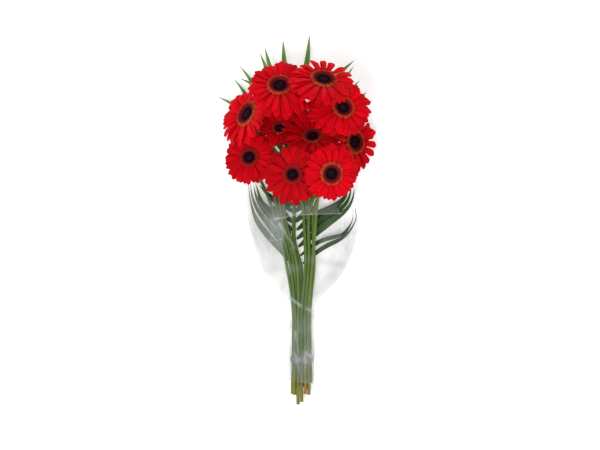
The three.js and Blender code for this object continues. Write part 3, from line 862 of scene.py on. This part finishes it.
def folds(x, y, z, scale):
    """Soft, sharp-crested folds, from 0 to 1."""
    def one(p):
        a = noise.noise(Vector((p[0], p[1] * 0.45, p[2])) * scale)
        b = noise.noise(Vector((p[0], p[1], p[2])) * scale * 2.3 + Vector((7, 3, 1)))
        return max(0.0, 1 - 2.6 * abs(a)) * 0.7 + max(0.0, 1 - 2.6 * abs(b)) * 0.3
    return np.array([one(p) for p in zip(x.ravel(), y.ravel(), z.ravel())]).reshape(x.shape)


def mark(x, y, start, end, breadth):
    """1 on a straight line from start to end, in millimetres, and fading off to its sides."""
    (x0, y0), (x1, y1) = [(a * MM, b * MM) for a, b in (start, end)]
    run_x, run_y = x1 - x0, y1 - y0
    t = np.clip(((x - x0) * run_x + (y - y0) * run_y) / (run_x**2 + run_y**2), 0, 1)
    return swell(np.hypot(x - x0 - t * run_x, y - y0 - t * run_y), 0, breadth * MM)


# Painted highlights along creases across the front: strength, start and end in mm, breadth in mm
CREASE_HIGHLIGHTS = (
    (0.9, (64, 15), (66.5, 8), 0.8), (0.55, (-25, -7), (-2, -44), 2.2),
    (0.9, (-9, -121), (7, -133), 2.4), (0.8, (18, -138), (24, -141), 3.0),
    (0.35, (-38, -1), (-25, 2), 1.0), (0.3, (-44, -33), (-22, -30), 1.2),
    (0.55, (-1, -174), (4, -204), 2.4), (0.5, (17, -206), (22, -211), 3.0),
    (0.3, (4, -229), (16, -230), 1.1),
)


def film_places(shape, sizes):
    """The angles round the film, its x, y and z, and its soft and its fine folds there."""
    turn = all_round(FILM_AROUND)
    low_part = np.linspace(0, 1, FILM_STEPS_GATHERED)[:, None]
    up_part = np.linspace(0, 1, FILM_STEPS_OPEN)[1:, None]
    y = np.concatenate([shape.hem + (shape.neck - shape.hem) * low_part + 0 * turn,
                        shape.neck + (shape.top(turn) - shape.neck) * up_part])
    # The hem is cut a little askew
    askew = np.clip((shape.hem + 30 * MM - y) / (30 * MM), 0, 1)
    y = y - 3 * MM * np.cos(turn) * askew
    x, z = shape.section(y, turn + 0 * y)
    t = shape.opening(y)
    gathered = shape.gathered(t)
    pleats = np.cos(17 * turn + 2.2 * np.sin(30 * y + 3 * turn)) * 0.5 + 0.5
    soft = folds(x, y, z, 16)
    fine = folds(x + 3, y, z, 60)
    push = sizes.fold_depth * (0.25 + 0.75 * np.clip(t, 0, 1)) * soft
    push = push + (0.7 * pleats + 0.6 * fine) * MM * gathered
    z = z + push * np.where(np.sin(turn) > 0, np.sin(turn), 0)
    x = x + push * np.cos(turn)
    return turn, x, y, np.maximum(z, 0.06 * MM), soft, fine


def film(sizes, look):
    shape = FilmShape(sizes)
    turn, x, y, z, soft, fine = film_places(shape, sizes)
    t = shape.opening(y)
    top = shape.top(turn)
    front = rise(np.sin(turn) + 0 * y, 0, 0.4)
    middle = x - shape.neck_x
    # Loose film to either side of the stems
    stems_half = (10 + 20 * np.clip(t, 0, 1)) * MM
    slack = rise(np.abs(middle), stems_half, stems_half + 9 * MM)
    slack = slack * rise(t, 0.02, 0.2) * (1 - rise(t, 0.85, 1.1))
    # The film lies double above a fold that runs nearly level across the front
    fold_y = shape.lip + 3 * MM + 0.04 * middle - 4 * MM * rise(-middle, 10 * MM, 34 * MM)
    double = rise(y - fold_y, -0.3 * MM, 0.8 * MM) * front * rise(middle, -40 * MM, -25 * MM)
    double = double * (1 - rise(middle, 50 * MM, 58 * MM))
    cling = rise(-middle, 20 * MM, 34 * MM) * rise(t, 0.42, 0.75) * front
    bands = swell(y - shape.lip, -62 * MM - 0.2 * middle, 6.5 * MM) * rise(middle, 3 * MM, 8 * MM)
    bands = bands + swell(y - shape.lip, -80 * MM, 7 * MM) * rise(-middle, 0, 6 * MM)
    below = swell(y - shape.neck, 8 * MM, 26 * MM) + rise(-t, 0, 0.2)
    tied = swell(y, shape.tie, 9 * MM) * front
    outline = rise(np.abs(np.cos(turn)), 0.93, 1.0) * rise(t, 0, 0.1) * (1 - rise(t, 0.8, 1.1))
    haze = 0.012 + 0.2 * double + 0.26 * cling * (1 - 0.5 * double) + 0.17 * bands * front
    haze = haze + 0.08 * below * front + 0.085 * slack + 0.1 * outline
    haze = haze * (1 - 0.8 * rise(y - top, -16 * MM, 0)) + 0.22 * tied

    # Painted highlights, where the film is drawn lighter grey and hazier: along its top edge, the
    # fold where it lies double, the creases across the front, the crumpled gathered part and the
    # crests of the loose folds.
    edge = np.exp(-np.abs(y - top) / (0.8 * MM))
    fold_highlight = swell(y, fold_y, 0.7 * MM) * rise(middle, -44 * MM, -36 * MM)
    fold_highlight = fold_highlight * (1 - rise(middle, 60 * MM, 63 * MM))
    highlight_lines = sum(strength * mark(x, y, *line) for strength, *line in CREASE_HIGHLIGHTS)
    crumpled = shape.gathered(t) * rise(-t, -0.1, 0.15)
    crease = 0.25 * edge + (0.9 * fold_highlight + highlight_lines) * front + (0.55 * crumpled + 0.3 * tied) * fine
    crease = crease + slack * rise(soft, 0.8, 1.0) * 0.12
    skin = Skin("haze", "crease", "slack")
    skin.grid(np.stack([x, y, z], axis=-1), closed=True, haze=haze, crease=np.clip(crease, 0, 1),
              slack=slack * (0.4 + 0.6 * front))
    skin.piece("film", look, "film", "film_sleeve")


def squared(value, power):
    """A sine or cosine drawn towards the corners of a square."""
    return np.sign(value) * np.abs(value) ** power


def band(look):
    """The elastic band: a flat ring with rounded edges, following the bundle's section."""
    low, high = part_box("elastic_band")
    middle, half = (low + high) / 2, (high - low) / 2
    turn, corner = all_round(72), all_round(12).T
    thin = 0.55 * MM
    across = half.y * squared(np.cos(corner), 0.4)
    inset = thin - thin * squared(np.sin(corner), 0.6)
    x = middle.x + (half.x - inset) * squared(np.cos(turn), 0.4)
    z = middle.z + (half.z - inset) * squared(np.sin(turn), 0.4)
    y = middle.y + across * (1 + 0.05 * np.sin(3 * turn)) + 0.4 * MM * np.sin(2 * turn + 1)
    rows = np.stack([x, y, z], axis=-1)
    skin = Skin()
    skin.grid(np.concatenate([rows, rows[:1]]), closed=True)
    skin.piece("band", look, "band", "elastic_band")


# ---- settings and operators ----

def colour(name, description, value):
    return FloatVectorProperty(name=name, description=description, default=value, size=3,
                               subtype="COLOR", min=0, max=1)


def length(name, description, value):
    return FloatProperty(name=name, description=description, default=value, unit="LENGTH", min=0)


def share(name, description, value, low, high):
    return FloatProperty(name=name, description=description, default=value, subtype="FACTOR",
                         min=low, max=high)


class BunchSizes(bpy.types.PropertyGroup):
    petal_breadth: length("Petal breadth", "Half breadth of a petal", 4.9 * MM)
    petal_thickness: length("Petal thickness", "Thickness of a petal", 0.4 * MM)
    floret_breadth: length("Floret breadth", "Half breadth of an inner floret", 0.9 * MM)
    disc_spread: share("Disc spread", "Reach of the inner florets against the disc", 1.1, 0.8, 1.4)
    stem_fullness: share("Stem fullness", "Stem radius against the frame's", 1.0, 0.5, 1.5)
    leaflet_breadth: share("Leaflet breadth", "Leaflet breadth against the frame's", 1.0, 0.3, 2)
    leaf_thickness: length("Leaf thickness", "Thickness of a leaflet", 0.35 * MM)
    gathered_length: length("Gathered length", "Length of film gathered round the stems", 0.112)
    flare_length: length("Flare length", "From the gathered part to the sleeve's full width", 0.144)
    front_rise: length("Front rise", "How far the front edge rises past the full width", 0.026)
    mouth_height: length("Mouth height", "Height of the sleeve at its mouth", 0.076)
    fold_depth: length("Fold depth", "Height of the film's soft folds", 2.6 * MM)
    distance: length("Camera distance", "Height of the camera over the floor", 5.0)
    view_width: length("View width", "Width that the camera covers at the floor", 0.93)


class BunchColours(bpy.types.PropertyGroup):
    petal_bright: colour("Petal", "Red of a petal in full light", (0.87, 0.0, 0.008))
    # The petal shade and tip reds are partly painted shade: on the lower whorls, in the grooves and
    # on the curled tips.
    petal_deep_and_shade: colour("Petal shade", "Red at a petal's base and grooves", (0.42, 0.0, 0.004))
    petal_tip_shade: colour("Petal tip", "Colour of a petal's tip", (0.42, 0.003, 0.012))
    floret_rim: colour("Rim", "Tips of the outer florets", (0.62, 0.115, 0.028))
    floret_rim_dull: colour("Dull rim", "The same on a dark flower", (0.21, 0.006, 0.008))
    stem_light: colour("Stem", "Light green of the stems", (0.15, 0.255, 0.032))
    stem_dark: colour("Stem shade", "Dark green of the stems", (0.062, 0.13, 0.013))
    stem_pale: colour("Stem ribs", "Pale green on the stems' ribs", (0.21, 0.32, 0.07))
    stem_end: colour("Stem end", "Yellowed green at the cut ends", (0.24, 0.19, 0.022))
    stem_blush: colour("Stem blush", "Pinkish end of one stem", (0.46, 0.15, 0.09))
    # The palm's dark green is partly painted shade, on the leaflets under the stems.
    leaf_deep_and_shade: colour("Leaf shade", "Dark green of the palm", (0.016, 0.044, 0.007))
    leaf_light: colour("Leaf", "Light green of the palm", (0.20, 0.40, 0.08))
    leaf_vein: colour("Veins", "Pale green of the palm's veins", (0.06, 0.12, 0.022))
    film_haze: colour("Film", "Grey of the film's haze", (0.31, 0.32, 0.31))
    # The creases' light grey is a painted highlight.
    film_crease_highlight: colour("Creases", "Light grey of the film's creases", (0.52, 0.55, 0.54))
    band: colour("Band", "Tan of the elastic band", (0.20, 0.17, 0.09))
    floor: colour("Floor", "Pale floor", (0.90, 0.90, 0.90))


class BUNCH_OT_petals(bpy.types.Operator):
    """Ray petals of the ten heads"""
    bl_idname = "bunch.petals"
    bl_label = "Petals"

    def execute(self, context):
        look = petal_look(context.scene.bunch_colours)
        for number in FLOWERS:
            ray_petals(number, context.scene.bunch_sizes, look)
        return {"FINISHED"}


class BUNCH_OT_florets(bpy.types.Operator):
    """Eyes and inner florets of the ten heads"""
    bl_idname = "bunch.florets"
    bl_label = "Florets"

    def execute(self, context):
        look = floret_look(context.scene.bunch_colours)
        for number in FLOWERS:
            flower_disc(number, context.scene.bunch_sizes, look)
        return {"FINISHED"}


class BUNCH_OT_stems(bpy.types.Operator):
    """Ribbed stems with their cut ends and the green cups under the heads"""
    bl_idname = "bunch.stems"
    bl_label = "Stems"

    def execute(self, context):
        look = stem_look(context.scene.bunch_colours)
        for number in FLOWERS:
            stem(number, context.scene.bunch_sizes, look)
        return {"FINISHED"}


class BUNCH_OT_palm(bpy.types.Operator):
    """Palm frond: rachis and leaflets"""
    bl_idname = "bunch.palm"
    bl_label = "Palm frond"

    def execute(self, context):
        sizes, colours = context.scene.bunch_sizes, context.scene.bunch_colours
        look = leaf_look(colours)
        line = rachis(stem_look(colours))
        for number in LEAFLETS:
            leaflet(number, sizes, look)
        leaf_stubs(line, sizes, look)
        return {"FINISHED"}


class BUNCH_OT_film(bpy.types.Operator):
    """Film sleeve"""
    bl_idname = "bunch.film"
    bl_label = "Film sleeve"

    def execute(self, context):
        film(context.scene.bunch_sizes, film_look(context.scene.bunch_colours))
        return {"FINISHED"}


class BUNCH_OT_band(bpy.types.Operator):
    """Elastic band round the stems"""
    bl_idname = "bunch.band"
    bl_label = "Elastic band"

    def execute(self, context):
        band(band_look(context.scene.bunch_colours))
        return {"FINISHED"}


class BUNCH_OT_stage(bpy.types.Operator):
    """Pale floor, soft light and the camera"""
    bl_idname = "bunch.stage"
    bl_label = "Stage"

    def execute(self, context):
        scene = context.scene
        sizes = scene.bunch_sizes
        steps = np.linspace(-FLOOR_REACH, FLOOR_REACH, 9)
        x, y = np.meshgrid(steps, steps)
        skin = Skin()
        skin.grid(np.stack([x, y, 0 * x - FLOOR_DROP], axis=-1))
        skin.mesh_object("floor", floor_look(scene.bunch_colours))

        camera = bpy.data.objects.new("camera", bpy.data.cameras.new("camera"))
        camera.data.sensor_width = SENSOR
        camera.data.lens = SENSOR * sizes.distance / sizes.view_width
        camera.data.clip_end = 50
        camera.location = (CAMERA_X, CAMERA_Y, sizes.distance)
        scene.collection.objects.link(camera)
        scene.camera = camera

        world = bpy.data.worlds.new("soft light")
        world.use_nodes = True
        background = world.node_tree.nodes["Background"]
        background.inputs["Color"].default_value = (1, 1, 1, 1)
        background.inputs["Strength"].default_value = WORLD_STRENGTH
        scene.world = world
        for name, turn, strength, spread in SUNS:
            light = bpy.data.objects.new(name, bpy.data.lights.new(name, "SUN"))
            light.data.energy = strength
            light.data.angle = math.radians(spread)
            light.rotation_euler = [math.radians(a) for a in turn]
            scene.collection.objects.link(light)
        scene.view_settings.view_transform = "Standard"
        return {"FINISHED"}


OPERATORS = (BUNCH_OT_stage, BUNCH_OT_petals, BUNCH_OT_florets, BUNCH_OT_stems, BUNCH_OT_palm,
             BUNCH_OT_film, BUNCH_OT_band)


class BUNCH_PT_panel(bpy.types.Panel):
    """The bunch's settings and pieces"""
    bl_idname = "BUNCH_PT_panel"
    bl_label = "Gerbera bunch"
    bl_space_type = "VIEW_3D"
    bl_region_type = "UI"
    bl_category = "Bunch"

    def draw(self, context):
        for group in (context.scene.bunch_sizes, context.scene.bunch_colours):
            for name in group.__annotations__:
                self.layout.prop(group, name)
        for operator in OPERATORS:
            self.layout.operator(operator.bl_idname)


CLASSES = (BunchSizes, BunchColours, *OPERATORS, BUNCH_PT_panel)


def register():
    for cls in CLASSES:
        bpy.utils.register_class(cls)
    bpy.types.Scene.bunch_sizes = PointerProperty(type=BunchSizes)
    bpy.types.Scene.bunch_colours = PointerProperty(type=BunchColours)


def unregister():
    del bpy.types.Scene.bunch_colours
    del bpy.types.Scene.bunch_sizes
    for cls in reversed(CLASSES):
        bpy.utils.unregister_class(cls)


def main():
    register()
    bpy.ops.bunch.stage()
    bpy.ops.bunch.petals()
    bpy.ops.bunch.florets()
    bpy.ops.bunch.stems()
    bpy.ops.bunch.palm()
    bpy.ops.bunch.film()
    bpy.ops.bunch.band()


if __name__ == "__main__":
    main()
